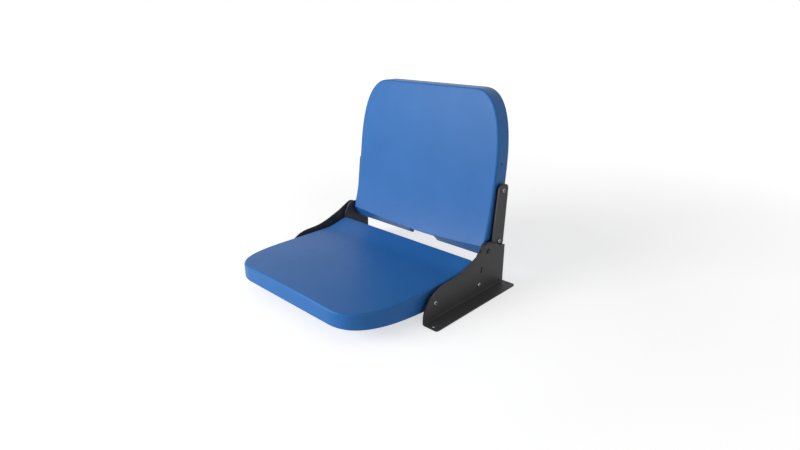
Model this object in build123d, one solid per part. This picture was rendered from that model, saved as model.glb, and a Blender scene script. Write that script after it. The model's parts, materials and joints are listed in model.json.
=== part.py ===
"""Fold-down stadium seat: a blow-moulded seat and back between two pairs of steel side plates.

Frame: +X towards the sitter's left, -Y towards the front, +Z up. The origin is the centre of the four
base bolt holes, on the underside of the base flanges. Lengths are millimetres, angles are degrees.
"""
import os

from build123d import *
from math import asin, atan2, cos, exp, hypot, radians, sin, tan

# ---- driving dimensions -------------------------------------------------------------------------
# Seat panel
SEAT_HALF_WIDTH = 217.0
SEAT_FRONT_Y = -308.0
SEAT_REAR_TOP_Y = 47.0
SEAT_REAR_LEAN = 7.0            # the rear face runs this much further back at its foot
SEAT_UNDERSIDE_FRONT_Z = 33.7
SEAT_UNDERSIDE_TILT = 5.1
SEAT_TOP_FRONT_Z = 71.0
SEAT_TOP_MIDDLE_Z = 70.0
SEAT_CROWN = 5.6                # the top is this much lower along its sides, up to the lip
SEAT_LIP_Z = 79.0
SEAT_LIP_RISE_LENGTH = 78.0
SEAT_LIP_ANGLE = 11.0           # slope of the top where it meets the rear face
SEAT_CORNER_WIDTH = 85.0         # front corners in plan, along the front edge
SEAT_CORNER_LENGTH = 150.0       # and back along the sides
SEAT_CORNER_FULLNESS = 0.676
SEAT_REAR_CORNER_RADIUS = 12.0
SEAT_TOP_EDGE_RADIUS = 5.0
SEAT_BOTTOM_EDGE_RADIUS = 4.0

# Back panel
BACK_SIDE_CLEARANCE = 2.0       # back panel to inner plate
BACK_BOTTOM_Z = 89.0
BACK_TOP_Z = 441.25
BACK_REAR_BOTTOM_Y = 139.7
BACK_RAKE = 4.65
BACK_THICKNESS = 44.0
BACK_FOOT_CURL = 22.9           # how far the foot of the front face curls forward
BACK_CURL_LENGTH = 62.0         # the curl fades to a third over this height
BACK_HEAD_LEAN = 6.5            # how far the top of the panel leans back beyond its rake
BACK_HEAD_LENGTH = 68.0         # the lean fades to a third over this height
BACK_TOP_CORNER_WIDTH = 80.0
BACK_TOP_CORNER_HEIGHT = 172.5
BACK_TOP_CORNER_FULLNESS = 0.65
BACK_EDGE_RADIUS = 4.5
CREASE_MIDDLE_Z = 92.0          # foot of the front face, where it turns under
CREASE_RISE = 9.5               # the crease is this much higher at its ends
LIP_FOOT_Z = 73.0
LIP_FOOT_FRONT_Y = 94.2
LIP_SOLE = 5.0                  # flat width of the lip's foot
HAND_HOLD_LOW_X = -12.0
HAND_HOLD_HIGH_X = 70.0

# Moulded panels, both
WALL = 4.0
HOLLOW_RADIUS = 1.0             # rims of both hollows
LOFT_OVERRUN = 10.0             # how far the lofted surfaces are drawn beyond the panels
BOSS_RADIUS = 13.0
BOSS_DEPTH = 20.0
NEEDLE_HOLE_RADIUS = 2.0
SEAT_NEEDLE_HOLE = (-139.2, 44.1)
BACK_NEEDLE_HOLE = (129.4, 283.3)

# Steel plates
PLATE_THICKNESS = 3.0
ARM_THICKNESS = 4.0
HINGE_INNER_GAP = 0.5           # inner plate to arm
HINGE_OUTER_GAP = 2.5           # arm to outer plate
WASHER_CLEARANCE = 0.1          # washer to arm
BASE_LENGTH = 284.0
FLANGE_WIDTH = 35.0
BEND_INNER_RADIUS = 1.5
FLANGE_CORNER_RADIUS = 6.0
BASE_HOLE_RADIUS = 3.5
BASE_HOLE_INSET_X = 16.0        # from the outer edge of the flange
BASE_HOLE_INSET_Y = 8.5         # from the ends of the flange
PLATE_FRONT_HEIGHT = 29.2
PLATE_SHOULDER = (-95.6, 65.9)
PLATE_WAIST = (-30.3, 73.8)
PLATE_NECK = (31.9, 94.8)
PLATE_NECK_ANGLE = 27.0         # slope of the front edge where it runs into the ear
PLATE_REAR_Y = 142.0
PLATE_REAR_HEIGHT = 94.5
INNER_PLATE_FRONT_Y = 48.0
INNER_PLATE_TOE_Y = 28.0
INNER_PLATE_TOE_HEIGHT = 46.0
INNER_PLATE_KNEE_HEIGHT = 79.0
INNER_PLATE_BROW_HEIGHT = 89.0
INNER_EAR_ANGLE = 38.0
INNER_PLATE_REAR_Y = 129.5
INNER_PLATE_FOOT_Z = 6.0
CORNER_RADIUS = 3.0

# Hinge
PIVOT_Y = 76.8
PIVOT_Z = 96.3
EAR_RADIUS = 18.5
ARM_LOBE_RADIUS = 17.0
PIN_RADIUS = 4.0
PIN_CLEARANCE = 0.05
PIN_HEAD_RADIUS = 5.4
PIN_HEAD_HEIGHT = 2.2
PIN_TAIL_HEIGHT = 1.0
PIN_HEAD_ROUNDING = 0.8
WASHER_RADIUS = 9.0

# Tabbed web between the plates of each side
WEB_Y = 53.05
WEB_Z = 58.7
WEB_LEAN = 20.0
WEB_THICKNESS = 3.6
TAB_HEIGHT = 12.5
WEB_HEIGHT = 28.0
TAB_CLEARANCE = 0.3
TAB_RECESS = 2.0                # the tab stops short of the outer face

# Arms
ARM_TOP_Z = 238.5
ARM_FRONT_TOP_Y = 115.0
ARM_FRONT_LEAN = 6.65
ARM_REAR_TOP_Y = 149.4
ARM_REAR_LEAN = 2.96            # less than the front edge, so the arm tapers upwards
ARM_TOP_CORNER_RADIUS = 12.0
ARM_SHOULDER_Z = 112.0          # the front edge runs straight down to here
ARM_HEEL_Z = 93.5
ARM_HEEL_RADIUS = 10.0
ARM_NECK_ANGLE = 5.0
STOP_Y = 124.7
STOP_Z = 105.5
ARM_TOP_SCREW_Y = 129.1
ARM_TOP_SCREW_Z = 225.2
STOP_CLEARANCE = 0.3

# Screws, inserts and spacers
SEAT_FRONT_SCREW = (-107.2, 38.7)
SEAT_REAR_SCREW = (45.4, 24.5)
SCREW_RADIUS = 3.0
SCREW_HOLE_CLEARANCE = 0.3
SCREW_HEAD_RADIUS = 5.25
SCREW_HEAD_HEIGHT = 3.3
SCREW_SOCKET_FLATS = 4.0
SCREW_SOCKET_DEPTH = 2.0
SCREW_HEAD_DOMING = 0.85        # share of the head's height that is rounded over
THREAD_CLEARANCE = 0.05
INSERT_RADIUS = 4.5
INSERT_LENGTH = 14.0
INSERT_CLEARANCE = 0.05
INSERT_END_CLEARANCE = 1.5
FRONT_SPACER_RADIUS = 11.0
SPACER_RADIUS = 8.0
SEAT_REAR_SPACER_LENGTH = 2.0

# ---- sizes that follow from them ----------------------------------------------------------------
INNER_PLATE_IN = SEAT_HALF_WIDTH + SEAT_REAR_SPACER_LENGTH
INNER_PLATE_OUT = INNER_PLATE_IN + PLATE_THICKNESS
ARM_IN = INNER_PLATE_OUT + HINGE_INNER_GAP
ARM_OUT = ARM_IN + ARM_THICKNESS
OUTER_PLATE_IN = ARM_OUT + HINGE_OUTER_GAP
OUTER_PLATE_OUT = OUTER_PLATE_IN + PLATE_THICKNESS
FLANGE_OUT = OUTER_PLATE_OUT + FLANGE_WIDTH
BACK_HALF_WIDTH = INNER_PLATE_IN - BACK_SIDE_CLEARANCE
BASE_HOLE_X = FLANGE_OUT - BASE_HOLE_INSET_X
BASE_HOLE_Y = BASE_LENGTH / 2 - BASE_HOLE_INSET_Y
HALF_BASE = BASE_LENGTH / 2
SCREW_HOLE_RADIUS = SCREW_RADIUS + SCREW_HOLE_CLEARANCE
PIN_HOLE_RADIUS = PIN_RADIUS + PIN_CLEARANCE
NOTCH_RADIUS = SPACER_RADIUS + STOP_CLEARANCE
RAKE_SLOPE = tan(radians(BACK_RAKE))
UNDERSIDE_SLOPE = tan(radians(SEAT_UNDERSIDE_TILT))
STOP = (STOP_Y, STOP_Z)
ARM_TOP_SCREW = (ARM_TOP_SCREW_Y, ARM_TOP_SCREW_Z)
PIVOT = (PIVOT_Y, PIVOT_Z)
LOFT_SHARES = (-1.0, 0.0, 1.0)   # three sections hold a curve that goes by the square of X


# ---- helpers ------------------------------------------------------------------------------------
def side_plane(x):
    """A sketch plane across the object at x, whose own x and y run along +Y and +Z."""
    return Plane(origin=(x, 0, 0), x_dir=(0, 1, 0), z_dir=(1, 0, 0))


def across(face, x_from, x_to):
    """A side-view face (drawn in Y and Z) as a solid between two values of X."""
    return extrude(side_plane(x_from) * face, amount=x_to - x_from)


def round_bar(centre, radius, x_from, x_to):
    """A round solid along X, centred on a (Y, Z) point."""
    return across(Pos(*centre) * Circle(radius), x_from, x_to)


def ring(centre, outer, inner, x_from, x_to):
    return round_bar(centre, outer, x_from, x_to) - round_bar(centre, inner, x_from - 1, x_to + 1)


def outline(*points):
    """A straight-sided face through the points."""
    return make_face(Polyline(*points, close=True))


def between(low, high, shares):
    return [low + (high - low) * share for share in shares]


def mirrored(shape):
    return mirror(shape, about=Plane.YZ)


def both_sides(shape):
    return [shape, mirrored(shape)]


def save(node, *shapes):
    """Write the solids of one node to its STEP file."""
    solids = [solid for shape in shapes for solid in shape.solids()]
    model = solids[0] if len(solids) == 1 else Compound(children=solids)
    model.label = node
    export_step(model, f"parts/{node}.step")


# ---- seat panel ---------------------------------------------------------------------------------
def seat_underside_z(y):
    return SEAT_UNDERSIDE_FRONT_Z - (y - SEAT_FRONT_Y) * UNDERSIDE_SLOPE


def seat_rear_y(z):
    return SEAT_REAR_TOP_Y + SEAT_REAR_LEAN * (1 - z / SEAT_LIP_Z)


def seat_side_face(inset):
    """Side view of the seat, open above: tilted flat underside and a leaning rear face."""
    front = SEAT_FRONT_Y + inset
    high = 2 * SEAT_LIP_Z
    rear_foot = seat_rear_y(0) - inset
    rear_high = seat_rear_y(high) - inset
    return outline((front, high), (rear_high, high), (rear_foot, seat_underside_z(rear_foot) + inset),
                   (front, seat_underside_z(front) + inset))


def seat_top_section(inset, x):
    """What lies under the top surface at one X: crowned in front, and rising at the rear to a level lip."""
    drop = inset + SEAT_CROWN * (x / SEAT_HALF_WIDTH) ** 2
    front = SEAT_FRONT_Y - LOFT_OVERRUN
    rise_start = SEAT_REAR_TOP_Y - SEAT_LIP_RISE_LENGTH
    rear = SEAT_REAR_TOP_Y + LOFT_OVERRUN
    lip_slope = tan(radians(SEAT_LIP_ANGLE))
    points = [
        (front, SEAT_TOP_FRONT_Z - drop),
        ((front + rise_start) / 2, SEAT_TOP_MIDDLE_Z - drop),
        (rise_start, SEAT_TOP_MIDDLE_Z - drop),
        (SEAT_REAR_TOP_Y, SEAT_LIP_Z - inset),
        (rear, SEAT_LIP_Z - inset + LOFT_OVERRUN * lip_slope),
    ]
    top = Spline(*points, tangents=[(1, 0), (1, 0), (1, 0), (1, lip_slope), (1, lip_slope)])
    sides = Polyline(top @ 1, (rear, 0), (front, 0), top @ 0)
    return side_plane(x) * make_face(Wire([*top.edges(), *sides.edges()]))


def seat_plan_face(inset):
    """Plan of the seat, open-ended at the rear: straight front edge and long, full front corners."""
    half = SEAT_HALF_WIDTH - inset
    front = SEAT_FRONT_Y + inset
    wide = SEAT_CORNER_WIDTH - inset
    long = SEAT_CORNER_LENGTH - inset
    gap_wide = wide * (1 - SEAT_CORNER_FULLNESS)
    gap_long = long * (1 - SEAT_CORNER_FULLNESS)
    rear = SEAT_REAR_TOP_Y + SEAT_REAR_LEAN + long
    edges = []
    for side in (1, -1):
        edges.append(Bezier((side * half, front + long), (side * half, front + gap_long),
                            (side * (half - gap_wide), front), (side * (half - wide), front)))
        edges.append(Line((side * half, front + long), (side * half, rear)))
    edges.append(Line((half - wide, front), (wide - half, front)))
    edges.append(Line((half, rear), (-half, rear)))
    return make_face(Wire([edge for line in edges for edge in line.edges()]))


def seat_form(inset, top_radius, bottom_radius):
    """The seat's solid outer form, or the form of its hollow when inset by the wall."""
    half = SEAT_HALF_WIDTH - inset
    reach = SEAT_HALF_WIDTH + LOFT_OVERRUN
    form = extrude(seat_plan_face(inset), amount=2 * SEAT_LIP_Z)
    form = form & across(seat_side_face(inset), -half - 1, half + 1)
    rear_from = SEAT_REAR_TOP_Y - inset - SEAT_REAR_LEAN
    upright = [edge for edge in form.edges().filter_by(GeomType.LINE)
               if abs(edge.center().X) > half - 1 and edge.center().Y > rear_from
               and abs(edge.tangent_at(0.5).Z) > 0.9]
    form = fillet(upright, SEAT_REAR_CORNER_RADIUS - inset)
    form = form & loft([seat_top_section(inset, reach * share) for share in LOFT_SHARES])
    top_face = form.faces().sort_by(Axis.Z)[-1]
    form = fillet(top_face.edges(), top_radius)
    bottom_face = form.faces().sort_by(Axis.Z)[0]
    return fillet(bottom_face.edges(), bottom_radius)


def insert_pocket(centre, half):
    depth = INSERT_LENGTH + INSERT_END_CLEARANCE
    return round_bar(centre, INSERT_RADIUS + INSERT_CLEARANCE, half - depth, half + 1)


def hollow_panel(form, hollow, half, screws, needle_hole):
    """Outer form less its hollow, with solid bosses round the inserts and a blow-pin hole."""
    for centre in screws:
        for boss in both_sides(round_bar(centre, BOSS_RADIUS, half - BOSS_DEPTH, half)):
            hollow = hollow - boss
    panel = form - hollow
    for centre in screws:
        for pocket in both_sides(insert_pocket(centre, half)):
            panel = panel - pocket
    return panel - round_bar(needle_hole, NEEDLE_HOLE_RADIUS, half - 2 * WALL, half + 1)


def seat_shell():
    form = seat_form(0, SEAT_TOP_EDGE_RADIUS, SEAT_BOTTOM_EDGE_RADIUS)
    hollow = seat_form(WALL, HOLLOW_RADIUS, HOLLOW_RADIUS)
    return hollow_panel(form, hollow, SEAT_HALF_WIDTH, (SEAT_FRONT_SCREW, SEAT_REAR_SCREW), SEAT_NEEDLE_HOLE)


# ---- back panel ---------------------------------------------------------------------------------
def back_rear_y(z):
    """Rear face: raked, and leaning further back towards the top."""
    raked = BACK_REAR_BOTTOM_Y + (z - BACK_BOTTOM_Z) * RAKE_SLOPE
    return raked + BACK_HEAD_LEAN * exp((z - BACK_TOP_Z) / BACK_HEAD_LENGTH)


def back_front_y(z):
    """Front face: parallel to the rear at the top, curling forward towards the foot."""
    return back_rear_y(z) - BACK_THICKNESS - BACK_FOOT_CURL * exp((BACK_BOTTOM_Z - z) / BACK_CURL_LENGTH)


def lip_rear_y():
    return LIP_FOOT_FRONT_Y + LIP_SOLE


def back_side_face(inset, foot_z):
    """Side view of the back down to a foot: hollowed front face, raked rear."""
    bottom = BACK_BOTTOM_Z + inset
    top = BACK_TOP_Z - inset
    shares = (0.0, 0.06, 0.14, 0.25, 0.4, 0.6, 0.75, 0.9, 1.0)
    front = Spline(*[(back_front_y(z) + inset, z) for z in between(foot_z, top, shares)])
    rear = Spline(*[(back_rear_y(z) - inset, z) for z in between(bottom, top, shares)])
    corners = [rear @ 0]
    if foot_z < bottom:
        corners += [(lip_rear_y(), bottom), (lip_rear_y(), foot_z)]
    foot = Polyline(*corners, front @ 0)
    head = Line(front @ 1, rear @ 1)
    return make_face(Wire([*front.edges(), *head.edges(), *rear.edges(), *foot.edges()]))


def back_front_view(inset, foot_z):
    """Front view of the back panel, drawn in X and Z."""
    half = BACK_HALF_WIDTH - inset
    top = BACK_TOP_Z - inset
    wide = BACK_TOP_CORNER_WIDTH - inset
    tall = BACK_TOP_CORNER_HEIGHT - inset
    gap_wide = wide * (1 - BACK_TOP_CORNER_FULLNESS)
    gap_tall = tall * (1 - BACK_TOP_CORNER_FULLNESS)
    lines = [Line((half - wide, top), (wide - half, top)), Line((half, foot_z), (-half, foot_z))]
    for side in (1, -1):
        lines.append(Bezier((side * half, top - tall), (side * half, top - gap_tall),
                            (side * (half - gap_wide), top), (side * (half - wide), top)))
        lines.append(Line((side * half, top - tall), (side * half, foot_z)))
    return make_face(Wire([edge for line in lines for edge in line.edges()]))


def undercut_section(x):
    """What is cut away ahead of and below the line from the crease to the lip's foot, at one X."""
    crease_z = CREASE_MIDDLE_Z + CREASE_RISE * (x / BACK_HALF_WIDTH) ** 2
    crease_y = back_front_y(crease_z)
    run = LIP_FOOT_FRONT_Y - crease_y
    drop = crease_z - LIP_FOOT_Z
    below = LIP_FOOT_Z - drop
    face = outline((0, crease_z + crease_y * drop / run), (LIP_FOOT_FRONT_Y + run, below), (0, below))
    return side_plane(x) * face


def undercut():
    """The turned-under face, from a crease that sags in the middle to the straight foot of the lip."""
    reach = BACK_HALF_WIDTH + LOFT_OVERRUN
    return loft([undercut_section(reach * share) for share in LOFT_SHARES])


def front_face(form):
    """The large hollowed face towards the sitter."""
    return max(form.faces().filter_by(lambda face: face.normal_at().Y < -0.5), key=lambda face: face.area)


def rear_face(form):
    return max(form.faces().filter_by(lambda face: face.normal_at().Y > 0.5), key=lambda face: face.area)


def back_form(inset, foot_z, rim_radius):
    """The back's solid outer form down to a foot, or the form of its hollow, with softened rims."""
    half = BACK_HALF_WIDTH - inset
    front_view = Plane(origin=(0, 2 * BACK_REAR_BOTTOM_Y, 0), x_dir=(1, 0, 0), z_dir=(0, -1, 0))
    form = extrude(front_view * back_front_view(inset, foot_z), amount=3 * BACK_REAR_BOTTOM_Y)
    form = form & across(back_side_face(inset, foot_z), -half - 1, half + 1)
    front_rim = [edge for edge in front_face(form).edges() if edge.bounding_box().max.Z > foot_z + 1]
    form = fillet(front_rim, rim_radius)
    return fillet(rear_face(form).edges(), rim_radius)


def hand_hold():
    """The gap in the lip, open below and to the front and rear."""
    width = HAND_HOLD_HIGH_X - HAND_HOLD_LOW_X
    depth = 2 * lip_rear_y()
    height = 2 * (BACK_BOTTOM_Z - LIP_FOOT_Z)
    centre = Pos((HAND_HOLD_LOW_X + HAND_HOLD_HIGH_X) / 2, lip_rear_y(), BACK_BOTTOM_Z - height / 2)
    return centre * Box(width, depth, height)


def back_shell():
    form = back_form(0, LIP_FOOT_Z, BACK_EDGE_RADIUS) - undercut() - hand_hold()
    hollow = back_form(WALL, BACK_BOTTOM_Z + WALL, HOLLOW_RADIUS) - Pos(0, WALL, WALL) * undercut()
    return hollow_panel(form, hollow, BACK_HALF_WIDTH, (STOP, ARM_TOP_SCREW), BACK_NEEDLE_HOLE)


# ---- side plates --------------------------------------------------------------------------------
def top_edge_angle():
    """Fall of the plates' top edge, which leaves the ear at a tangent and ends at the rear corner."""
    reach = PLATE_REAR_Y - PIVOT_Y
    drop = PIVOT_Z - PLATE_REAR_HEIGHT
    return asin(EAR_RADIUS / hypot(reach, drop)) + atan2(drop, reach)


def top_edge_z(y):
    return PLATE_REAR_HEIGHT + (PLATE_REAR_Y - y) * tan(top_edge_angle())


def ear_tangent_y():
    return PIVOT_Y + EAR_RADIUS * sin(top_edge_angle())


def on_circle(radius, lean):
    """The point of a circle about the pivot that lies forward of its top by an angle."""
    return (PIVOT_Y - radius * sin(radians(lean)), PIVOT_Z + radius * cos(radians(lean)))


def slot_face(clearance):
    """The leaning slot that the web's tab fills."""
    return Pos(WEB_Y, WEB_Z) * Rot(0, 0, -WEB_LEAN) * Rectangle(
        WEB_THICKNESS + 2 * clearance, TAB_HEIGHT + 2 * clearance)


def plate_holes():
    """What both plates of a side have cut out: pivot hole, tab slot, stop notch, rear seat screw hole."""
    return [
        Pos(*PIVOT) * Circle(PIN_HOLE_RADIUS),
        slot_face(TAB_CLEARANCE),
        Pos(*STOP) * Circle(NOTCH_RADIUS),
        Pos(*SEAT_REAR_SCREW) * Circle(SCREW_HOLE_RADIUS),
    ]


def cut_holes(face, holes):
    for hole in holes:
        face = face - hole
    return face


def outer_plate_face():
    """Side view of the outer plate: low at the front, rising along an S to the ear at the pivot."""
    front = Spline(
        (-HALF_BASE, 0),
        (-HALF_BASE + CORNER_RADIUS, PLATE_FRONT_HEIGHT),
        PLATE_SHOULDER,
        PLATE_WAIST,
        PLATE_NECK,
        on_circle(EAR_RADIUS, PLATE_NECK_ANGLE),
        tangents=[(0, 1), (cos(radians(PLATE_NECK_ANGLE)), sin(radians(PLATE_NECK_ANGLE)))],
    )
    tangent_y = ear_tangent_y()
    rest = Polyline(front @ 1, PIVOT, (tangent_y, top_edge_z(tangent_y)), (PLATE_REAR_Y, PLATE_REAR_HEIGHT),
                    (PLATE_REAR_Y, 0), (-HALF_BASE, 0))
    face = make_face(Wire([*front.edges(), *rest.edges()]))
    return face + Pos(*PIVOT) * Circle(EAR_RADIUS)


def angle_section():
    """Cross-section of the bent sheet: upright web, bend, and flange turned outwards."""
    outer = BEND_INNER_RADIUS + PLATE_THICKNESS
    web = Pos((OUTER_PLATE_IN + OUTER_PLATE_OUT) / 2, PIVOT_Z) * Rectangle(PLATE_THICKNESS, 2 * PIVOT_Z)
    flange = Pos((OUTER_PLATE_IN + FLANGE_OUT) / 2, PLATE_THICKNESS / 2) * Rectangle(
        FLANGE_OUT - OUTER_PLATE_IN, PLATE_THICKNESS)
    centre = Pos(OUTER_PLATE_OUT + BEND_INNER_RADIUS, PLATE_THICKNESS + BEND_INNER_RADIUS)
    half_radius = BEND_INNER_RADIUS / 2
    inside = centre * Pos(-half_radius, -half_radius) * Rectangle(BEND_INNER_RADIUS, BEND_INNER_RADIUS)
    outside = Pos(OUTER_PLATE_IN + outer / 2, outer / 2) * Rectangle(outer, outer)
    bend = outside - centre * Circle(outer)
    return web + flange + (inside - centre * Circle(BEND_INNER_RADIUS)) - bend


def flange_plan():
    """Plan of the flange with its rounded outer corners and bolt holes."""
    width = FLANGE_OUT - OUTER_PLATE_IN
    face = Pos((OUTER_PLATE_IN + FLANGE_OUT) / 2, 0) * Rectangle(width, BASE_LENGTH)
    outer_corners = face.vertices().sort_by(Axis.X)[-2:]
    face = fillet(outer_corners, FLANGE_CORNER_RADIUS)
    for end in (-BASE_HOLE_Y, BASE_HOLE_Y):
        face = face - Pos(BASE_HOLE_X, end) * Circle(BASE_HOLE_RADIUS)
    return face


def outer_plate():
    sheet = extrude(Plane(origin=(0, -HALF_BASE, 0), x_dir=(1, 0, 0), z_dir=(0, -1, 0)) * angle_section(),
                    amount=-BASE_LENGTH)
    front_hole = Pos(*SEAT_FRONT_SCREW) * Circle(SCREW_HOLE_RADIUS)
    upright_face = cut_holes(outer_plate_face(), [*plate_holes(), front_hole])
    upright = across(upright_face, OUTER_PLATE_IN - 1, OUTER_PLATE_OUT)
    bend_height = PLATE_THICKNESS + BEND_INNER_RADIUS
    foot = extrude(flange_plan(), amount=bend_height)
    return sheet & (upright + foot)


def inner_plate():
    tangent_y = ear_tangent_y()
    face = outline(
        (INNER_PLATE_TOE_Y, INNER_PLATE_FOOT_Z), (INNER_PLATE_TOE_Y, INNER_PLATE_TOE_HEIGHT),
        (INNER_PLATE_FRONT_Y, INNER_PLATE_KNEE_HEIGHT), (INNER_PLATE_FRONT_Y, INNER_PLATE_BROW_HEIGHT),
        on_circle(EAR_RADIUS, INNER_EAR_ANGLE),
        PIVOT, (tangent_y, top_edge_z(tangent_y)), (INNER_PLATE_REAR_Y, top_edge_z(INNER_PLATE_REAR_Y)),
        (INNER_PLATE_REAR_Y, INNER_PLATE_FOOT_Z),
    )
    face = face + Pos(*PIVOT) * Circle(EAR_RADIUS)
    foot = [v for v in face.vertices() if abs(v.Y - INNER_PLATE_FOOT_Z) < 0.1]
    face = fillet(foot, CORNER_RADIUS)
    return across(cut_holes(face, plate_holes()), INNER_PLATE_IN, INNER_PLATE_OUT)


def hinge_web():
    """Plate between the two side plates, with a tab through the slot of each."""
    lean = Pos(WEB_Y, WEB_Z) * Rot(0, 0, -WEB_LEAN)
    body = across(lean * Rectangle(WEB_THICKNESS, WEB_HEIGHT), INNER_PLATE_OUT, OUTER_PLATE_IN)
    tab_end = OUTER_PLATE_OUT - TAB_RECESS
    tabs = across(lean * Rectangle(WEB_THICKNESS, TAB_HEIGHT), INNER_PLATE_IN, tab_end)
    return body + tabs


# ---- hinge --------------------------------------------------------------------------------------
def pivot_pin():
    """Shoulder rivet through both plates and the arm: low round head outside, clenched tail inside."""
    shank = round_bar(PIVOT, PIN_RADIUS, INNER_PLATE_IN, OUTER_PLATE_OUT)
    head = round_bar(PIVOT, PIN_HEAD_RADIUS, OUTER_PLATE_OUT, OUTER_PLATE_OUT + PIN_HEAD_HEIGHT)
    head = fillet(head.edges().sort_by(Axis.X)[-1], PIN_HEAD_ROUNDING)
    tail = round_bar(PIVOT, PIN_HEAD_RADIUS, INNER_PLATE_IN - PIN_TAIL_HEIGHT, INNER_PLATE_IN)
    return shank + head + tail


def pivot_washers():
    """A thin washer on each side of the arm, against its plate."""
    inner = ring(PIVOT, WASHER_RADIUS, PIN_HOLE_RADIUS, INNER_PLATE_OUT, ARM_IN - WASHER_CLEARANCE)
    outer = ring(PIVOT, WASHER_RADIUS, PIN_HOLE_RADIUS, ARM_OUT + WASHER_CLEARANCE, OUTER_PLATE_IN)
    return [inner, outer]


def arm_front_y(z):
    return ARM_FRONT_TOP_Y - (ARM_TOP_Z - z) * tan(radians(ARM_FRONT_LEAN))


def arm_rear_y(z):
    return ARM_REAR_TOP_Y - (ARM_TOP_Z - z) * tan(radians(ARM_REAR_LEAN))


def back_arm():
    """Flat arm: a lobe round the pivot, a heel over the stop, and an upright that tapers to its top."""
    heel_y = arm_rear_y(ARM_HEEL_Z)
    face = outline((arm_front_y(ARM_SHOULDER_Z), ARM_SHOULDER_Z), (ARM_FRONT_TOP_Y, ARM_TOP_Z),
                   (ARM_REAR_TOP_Y, ARM_TOP_Z), (heel_y, ARM_HEEL_Z),
                   (PIVOT_Y, PIVOT_Z - ARM_LOBE_RADIUS), on_circle(ARM_LOBE_RADIUS, ARM_NECK_ANGLE))
    tops = [v for v in face.vertices() if abs(v.Y - ARM_TOP_Z) < 0.1]
    face = fillet(tops, ARM_TOP_CORNER_RADIUS)
    heel = [v for v in face.vertices() if abs(v.X - heel_y) < 0.1 and abs(v.Y - ARM_HEEL_Z) < 0.1]
    face = fillet(heel, ARM_HEEL_RADIUS)
    face = face + Pos(*PIVOT) * Circle(ARM_LOBE_RADIUS)
    face = cut_holes(face, [Pos(*PIVOT) * Circle(PIN_HOLE_RADIUS), Pos(*STOP) * Circle(SCREW_HOLE_RADIUS),
                            Pos(*ARM_TOP_SCREW) * Circle(SCREW_HOLE_RADIUS)])
    return across(face, ARM_IN, ARM_OUT)


# ---- fasteners ----------------------------------------------------------------------------------
def button_screw(centre, head_seat, panel_half_width):
    """Button-head hex-socket screw along X, its head seated on the face at x = head_seat."""
    tip = panel_half_width - INSERT_LENGTH
    shank = round_bar(centre, SCREW_RADIUS, tip, head_seat)
    head = round_bar(centre, SCREW_HEAD_RADIUS, head_seat, head_seat + SCREW_HEAD_HEIGHT)
    head = fillet(head.edges().sort_by(Axis.X)[-1], SCREW_HEAD_HEIGHT * SCREW_HEAD_DOMING)
    socket_face = Pos(*centre) * RegularPolygon(SCREW_SOCKET_FLATS / 2, 6, major_radius=False)
    socket_floor = head_seat + SCREW_HEAD_HEIGHT - SCREW_SOCKET_DEPTH
    return shank + head - across(socket_face, socket_floor, head_seat + SCREW_HEAD_HEIGHT + 1)


def insert(centre, half):
    return ring(centre, INSERT_RADIUS, SCREW_RADIUS + THREAD_CLEARANCE, half - INSERT_LENGTH, half)


def spacer(centre, radius, x_from, x_to):
    return ring(centre, radius, SCREW_HOLE_RADIUS, x_from, x_to)


# ---- write every node ---------------------------------------------------------------------------
os.makedirs("parts", exist_ok=True)

save("seat_shell", seat_shell())
save("back_shell", back_shell())

side_parts = {
    "outer_plate": outer_plate(),
    "inner_plate": inner_plate(),
    "hinge_web": hinge_web(),
    "pivot_pin": pivot_pin(),
    "back_arm": back_arm(),
}
for name, shape in side_parts.items():
    save(f"{name}_left", shape)
    save(f"{name}_right", mirrored(shape))
save("pivot_washers_left", *pivot_washers())
save("pivot_washers_right", *[mirrored(washer) for washer in pivot_washers()])

seat_screws = {"front": SEAT_FRONT_SCREW, "rear": SEAT_REAR_SCREW}
back_screws = {"stop": STOP, "upper": ARM_TOP_SCREW}
for name, centre in seat_screws.items():
    save(f"seat_{name}_screws", *both_sides(button_screw(centre, OUTER_PLATE_OUT, SEAT_HALF_WIDTH)))
    save(f"seat_{name}_inserts", *both_sides(insert(centre, SEAT_HALF_WIDTH)))
for name, centre in back_screws.items():
    save(f"back_{name}_screws", *both_sides(button_screw(centre, ARM_OUT, BACK_HALF_WIDTH)))
    save(f"back_{name}_inserts", *both_sides(insert(centre, BACK_HALF_WIDTH)))
    arm_spacer = spacer(centre, SPACER_RADIUS, BACK_HALF_WIDTH, ARM_IN)
    save(f"back_{name}_spacers", *both_sides(arm_spacer))
front_spacer = spacer(SEAT_FRONT_SCREW, FRONT_SPACER_RADIUS, SEAT_HALF_WIDTH, OUTER_PLATE_IN)
save("seat_front_spacers", *both_sides(front_spacer))
rear_spacer = spacer(SEAT_REAR_SCREW, SPACER_RADIUS, SEAT_HALF_WIDTH, INNER_PLATE_IN)
save("seat_rear_spacers", *both_sides(rear_spacer))
plate_spacer = spacer(SEAT_REAR_SCREW, SPACER_RADIUS, INNER_PLATE_OUT, OUTER_PLATE_IN)
save("plate_spacers", *both_sides(plate_spacer))
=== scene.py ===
import json
import math

import bpy
from mathutils import Matrix, Vector

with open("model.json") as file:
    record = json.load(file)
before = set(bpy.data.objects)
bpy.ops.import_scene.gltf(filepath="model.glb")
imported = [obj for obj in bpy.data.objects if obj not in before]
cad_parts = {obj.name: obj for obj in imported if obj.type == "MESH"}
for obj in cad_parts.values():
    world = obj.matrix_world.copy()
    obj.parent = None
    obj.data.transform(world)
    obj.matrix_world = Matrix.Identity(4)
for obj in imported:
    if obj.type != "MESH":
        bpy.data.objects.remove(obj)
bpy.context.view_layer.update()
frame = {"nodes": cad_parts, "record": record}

NODES = frame["nodes"]
scene = bpy.context.scene
scene.view_settings.view_transform = "Standard"

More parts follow.
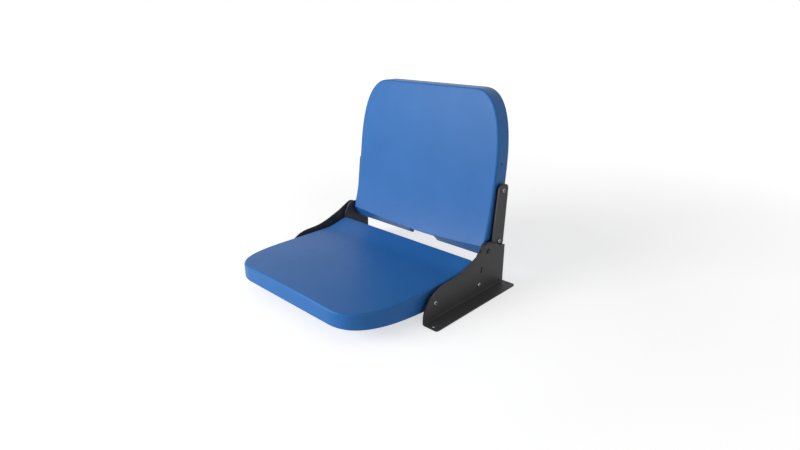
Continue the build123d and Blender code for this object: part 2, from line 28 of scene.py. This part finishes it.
# ---- camera ---------------------------------------------------------------------------------------
PHOTO_WIDTH = 800
FOCAL_PIXELS = 541.39
SENSOR = 36.0
CLIP_NEAR, CLIP_FAR = 0.01, 50.0
AZIMUTH, ELEVATION, ROLL = math.radians(43.347), math.radians(20.319), math.radians(0.063)
CAMERA_AT = Vector((0.8528, -0.86947, 0.57139))


def make_camera():
    back = Vector((math.sin(AZIMUTH) * math.cos(ELEVATION), -math.cos(AZIMUTH) * math.cos(ELEVATION),
                   math.sin(ELEVATION)))
    level = Vector((math.cos(AZIMUTH), math.sin(AZIMUTH), 0))
    upright = back.cross(level)
    right = level * math.cos(ROLL) + upright * math.sin(ROLL)
    up = upright * math.cos(ROLL) - level * math.sin(ROLL)
    data = bpy.data.cameras.new("camera")
    data.sensor_width = SENSOR
    data.lens = FOCAL_PIXELS * SENSOR / PHOTO_WIDTH
    data.clip_start, data.clip_end = CLIP_NEAR, CLIP_FAR
    camera = bpy.data.objects.new("camera", data)
    turn = Matrix((right, up, back)).transposed().to_4x4()
    camera.matrix_world = Matrix.Translation(CAMERA_AT) @ turn
    scene.collection.objects.link(camera)
    scene.camera = camera


# ---- materials ------------------------------------------------------------------------------------
# Scales of noise and cells are per metre. Bump distances and gap widths are metres.
MIX_A, MIX_B, MIX_RESULT = 6, 7, 2      # the colour sockets of a Mix node
AO_SAMPLES = 12
EDGE_STARTS, EDGE_FULL = 0.52, 0.58     # pointiness along a rubbed edge
PANEL_GAP = 0.009                       # how near another piece must be for painted shade to darken a panel
STEEL_GAP = 0.004
SOCKET_DEPTH = 0.003
STEEL_SHADE = 0.030
PIN_SHADE = 0.026
SPACER_SHADE = 0.022


class Nodes:
    """Adds shader nodes to one material and links them."""

    def __init__(self, name):
        self.material = bpy.data.materials.new(name)
        self.material.use_nodes = True
        self.tree = self.material.node_tree
        self.shader = self.tree.nodes["Principled BSDF"]
        self.where = self.tree.nodes.new("ShaderNodeTexCoord").outputs["Object"]

    def link(self, a, b):
        self.tree.links.new(a, b)

    def noise(self, scale, detail=2.0, roughness=0.5, stretch=None):
        node = self.tree.nodes.new("ShaderNodeTexNoise")
        node.inputs["Scale"].default_value = scale
        node.inputs["Detail"].default_value = detail
        node.inputs["Roughness"].default_value = roughness
        source = self.where
        if stretch:
            mapping = self.tree.nodes.new("ShaderNodeMapping")
            mapping.inputs["Scale"].default_value = stretch
            self.link(source, mapping.inputs["Vector"])
            source = mapping.outputs["Vector"]
        self.link(source, node.inputs["Vector"])
        return node.outputs["Fac"]

    def cells(self, scale):
        node = self.tree.nodes.new("ShaderNodeTexVoronoi")
        node.inputs["Scale"].default_value = scale
        self.link(self.where, node.inputs["Vector"])
        return node.outputs["Distance"]

    def ramp(self, value, *stops):
        node = self.tree.nodes.new("ShaderNodeValToRGB")
        elements = node.color_ramp.elements
        while len(elements) < len(stops):
            elements.new(0.5)
        for element, (at, colour) in zip(elements, stops):
            element.position = at
            element.color = (*colour, 1)
        self.link(value, node.inputs["Fac"])
        return node.outputs["Color"]

    def spread(self, value, low, high):
        node = self.tree.nodes.new("ShaderNodeMapRange")
        node.inputs["To Min"].default_value = low
        node.inputs["To Max"].default_value = high
        self.link(value, node.inputs["Value"])
        return node.outputs["Result"]

    def mix(self, share, a, b):
        node = self.tree.nodes.new("ShaderNodeMix")
        node.data_type = "RGBA"
        self.link(share, node.inputs["Factor"])
        for socket, value in ((node.inputs[MIX_A], a), (node.inputs[MIX_B], b)):
            if isinstance(value, tuple):
                socket.default_value = (*value, 1)
            else:
                self.link(value, socket)
        return node.outputs[MIX_RESULT]

    def bump(self, *layers):
        """layers: (height, distance in metres, strength)."""
        normal = None
        for height, distance, strength in layers:
            node = self.tree.nodes.new("ShaderNodeBump")
            node.inputs["Distance"].default_value = distance
            node.inputs["Strength"].default_value = strength
            self.link(height, node.inputs["Height"])
            if normal:
                self.link(normal, node.inputs["Normal"])
            normal = node.outputs["Normal"]
        self.link(normal, self.shader.inputs["Normal"])

    def worn(self):
        """1 on convex edges, 0 on flats."""
        node = self.tree.nodes.new("ShaderNodeNewGeometry")
        return self.ramp(node.outputs["Pointiness"], (EDGE_STARTS, (0, 0, 0)), (EDGE_FULL, (1, 1, 1)))

    def openness(self, distance):
        """1 in the open, falling towards 0 where another piece is closer than the distance."""
        shares = []
        for own in (False, True):
            node = self.tree.nodes.new("ShaderNodeAmbientOcclusion")
            node.only_local = own
            node.samples = AO_SAMPLES
            node.inputs["Distance"].default_value = distance
            shares.append(node.outputs["AO"])
        ratio = self.tree.nodes.new("ShaderNodeMath")
        ratio.operation = "DIVIDE"
        ratio.use_clamp = True
        for share, socket in zip(shares, ratio.inputs):
            self.link(share, socket)
        return ratio.outputs[0]

    def painted_gap_shade(self, colour, distance, gap_shade_colour, full=0.45, unshaded=0.9):
        """The colour, darkened by painted shade in the gaps beside other pieces."""
        gap = self.ramp(self.openness(distance), (full, (1, 1, 1)), (unshaded, (0, 0, 0)))
        return self.mix(gap, colour, gap_shade_colour)

    def set(self, **values):
        for name, value in values.items():
            self.shader.inputs[name.replace("_", " ")].default_value = value


def blue_plastic():
    """Blow-moulded polyethylene: satin, finely grained, with slow patches of shade from the mould."""
    m = Nodes("blue_plastic")
    patches = m.noise(9, 3)
    grain = m.noise(1400, 4, 0.6)
    colour = m.ramp(patches, (0.3, (0.022, 0.148, 0.440)), (0.7, (0.028, 0.164, 0.480)))
    # painted shade: the blue turns near black where another piece is within PANEL_GAP
    colour = m.painted_gap_shade(colour, PANEL_GAP, (0.002, 0.006, 0.018), 0.35, 0.85)
    m.link(colour, m.shader.inputs["Base Color"])
    m.link(m.spread(m.noise(60, 3), 0.36, 0.46), m.shader.inputs["Roughness"])
    m.set(Specular_IOR_Level=0.22, IOR=1.5)
    m.bump((grain, 0.00008, 0.5), (m.noise(22, 2), 0.0006, 0.25))
    return m.material


def black_steel(name, shade):
    """Fine-textured powder coat, a little lighter where edges are rubbed, with painted shade in the gaps
    beside other pieces.
    """
    m = Nodes(name)
    speckle = m.noise(2600, 3, 0.6)
    base = m.ramp(speckle, (0.35, (shade * 0.85,) * 3), (0.7, (shade * 1.2, shade * 1.18, shade * 1.25)))
    colour = m.mix(m.worn(), base, (shade * 2.2, shade * 2.15, shade * 2.25))
    # painted shade: near black where another piece is within STEEL_GAP
    colour = m.painted_gap_shade(colour, STEEL_GAP, (0.002, 0.002, 0.003))
    m.link(colour, m.shader.inputs["Base Color"])
    m.link(m.spread(m.noise(120, 3), 0.40, 0.54), m.shader.inputs["Roughness"])
    m.set(Specular_IOR_Level=0.2)
    m.bump((m.cells(1500), 0.00010, 0.45), (m.noise(700, 3), 0.00006, 0.4))
    return m.material


def screw_steel():
    """Dull zinc plate, with painted shade darkening the hexagon socket."""
    m = Nodes("bare_steel")
    occlusion = m.tree.nodes.new("ShaderNodeAmbientOcclusion")
    occlusion.inputs["Distance"].default_value = SOCKET_DEPTH
    plate = m.ramp(m.noise(500, 4), (0.3, (0.20, 0.20, 0.22)), (0.7, (0.30, 0.30, 0.32)))
    # painted shade: the socket and other recesses within SOCKET_DEPTH turn near black
    socket = m.ramp(occlusion.outputs["AO"], (0.45, (1, 1, 1)), (0.8, (0, 0, 0)))
    m.link(m.mix(socket, plate, (0.006, 0.006, 0.008)), m.shader.inputs["Base Color"])
    m.link(m.spread(m.noise(900, 2), 0.28, 0.42), m.shader.inputs["Roughness"])
    m.set(Metallic=0.85)
    m.bump((m.noise(1600, 2), 0.00003, 0.3))
    return m.material


def metal(name, colour, rough, stretch):
    """Bare metal with fine turning marks and slight tarnish."""
    m = Nodes(name)
    marks = m.noise(900, 2, 0.5, stretch)
    tarnish = m.ramp(m.noise(220, 4), (0.3, tuple(c * 0.75 for c in colour)), (0.65, colour))
    m.link(tarnish, m.shader.inputs["Base Color"])
    m.link(m.spread(marks, rough * 0.8, rough * 1.35), m.shader.inputs["Roughness"])
    m.set(Metallic=1.0)
    m.bump((marks, 0.00003, 0.3))
    return m.material


def black_nylon():
    m = Nodes("black_nylon")
    colour = m.ramp(m.noise(300, 3), (0.3, (0.016, 0.016, 0.016)), (0.7, (0.026, 0.026, 0.026)))
    m.link(colour, m.shader.inputs["Base Color"])
    m.link(m.spread(m.noise(500, 2), 0.5, 0.65), m.shader.inputs["Roughness"])
    m.bump((m.noise(1800, 2), 0.00004, 0.3))
    return m.material


def dress_nodes():
    """Gives every CAD node the finish of the record's slot that it is made in."""
    finishes = {
        "blue_plastic": blue_plastic(),
        "black_steel": black_steel("black_steel", STEEL_SHADE),
        "black_pin": black_steel("black_pin", PIN_SHADE),
        "black_nylon": black_nylon(),
        "bare_steel": screw_steel(),
        "insert_brass": metal("insert_brass", (0.72, 0.52, 0.24), 0.3, (0.05, 1, 1)),
        "dark_spacer": black_steel("dark_spacer", SPACER_SHADE),
    }
    for part in frame["record"]["subparts"]:
        node = NODES[part["node"]]
        node.data.materials.clear()
        node.data.materials.append(finishes[part["material_slot"]])


# ---- floor and light ------------------------------------------------------------------------------
WORLD_LIGHT = 0.30
FLOOR_HALF = 6.0
FLOOR_DROP = 0.0005                     # keeps the floor from lying in the flanges' underside
FLOOR_LIFT_NEAR = 0.60                  # lifts the floor to white, and more the further it is
FLOOR_LIFT_FAR = 0.86
FLOOR_LIFT_FROM, FLOOR_LIFT_TO = 0.6, 2.4
KEY_POWER = 53
SIDE_POWER = 6


def seen_share(tree, unseen, seen):
    """One strength for light that falls on things, another for what the camera or a reflection sees."""
    path = tree.nodes.new("ShaderNodeLightPath")
    total = path.outputs["Is Camera Ray"]
    for name in ("Is Glossy Ray", "Is Transmission Ray"):
        either = tree.nodes.new("ShaderNodeMath")
        either.operation = "MAXIMUM"
        tree.links.new(total, either.inputs[0])
        tree.links.new(path.outputs[name], either.inputs[1])
        total = either.outputs[0]
    strength = tree.nodes.new("ShaderNodeMapRange")
    strength.inputs["To Min"].default_value = unseen
    strength.inputs["To Max"].default_value = seen
    tree.links.new(total, strength.inputs["Value"])
    return strength.outputs["Result"]


def make_floor():
    mesh = bpy.data.meshes.new("floor")
    half = FLOOR_HALF
    corners = [(-half, -half, 0), (half, -half, 0), (half, half, 0), (-half, half, 0)]
    mesh.from_pydata(corners, [], [(0, 1, 2, 3)])
    floor = bpy.data.objects.new("floor", mesh)
    floor.location.z = -FLOOR_DROP
    scene.collection.objects.link(floor)
    m = Nodes("floor")
    colour = m.ramp(m.noise(3, 2), (0.3, (0.71, 0.71, 0.71)), (0.7, (0.73, 0.73, 0.73)))
    m.link(colour, m.shader.inputs["Base Color"])
    m.set(Roughness=0.8, Specular_IOR_Level=0.0, Emission_Color=(1, 1, 1, 1))
    reach = m.tree.nodes.new("ShaderNodeVectorMath")
    reach.operation = "LENGTH"
    m.link(m.where, reach.inputs[0])
    lift = m.spread(reach.outputs["Value"], FLOOR_LIFT_NEAR, FLOOR_LIFT_FAR)
    lift.node.inputs["From Min"].default_value = FLOOR_LIFT_FROM
    lift.node.inputs["From Max"].default_value = FLOOR_LIFT_TO
    shown = m.tree.nodes.new("ShaderNodeMath")
    shown.operation = "MULTIPLY"
    m.link(lift, shown.inputs[0])
    m.link(seen_share(m.tree, 0.0, 1.0), shown.inputs[1])
    m.link(shown.outputs[0], m.shader.inputs["Emission Strength"])
    mesh.materials.append(m.material)


def area_light(name, at, target, size, power):
    data = bpy.data.lights.new(name, "AREA")
    data.shape = "RECTANGLE"
    data.size, data.size_y = size
    data.energy = power
    light = bpy.data.objects.new(name, data)
    light.location = at
    light.rotation_euler = (Vector(target) - Vector(at)).to_track_quat("-Z", "Y").to_euler()
    scene.collection.objects.link(light)


def make_world():
    world = bpy.data.worlds.new("studio")
    scene.world = world
    world.use_nodes = True
    tree = world.node_tree
    shade = tree.nodes["Background"]
    shade.inputs["Color"].default_value = (1, 1, 1, 1)
    tree.links.new(seen_share(tree, WORLD_LIGHT, 1.0), shade.inputs["Strength"])


make_camera()
dress_nodes()
make_floor()
make_world()
area_light("key", (-1.1, -2.3, 0.9), (0, -0.05, 0.18), (1.6, 1.1), KEY_POWER)
area_light("side", (2.4, -0.9, 0.8), (0, 0, 0.15), (1.2, 1.0), SIDE_POWER)
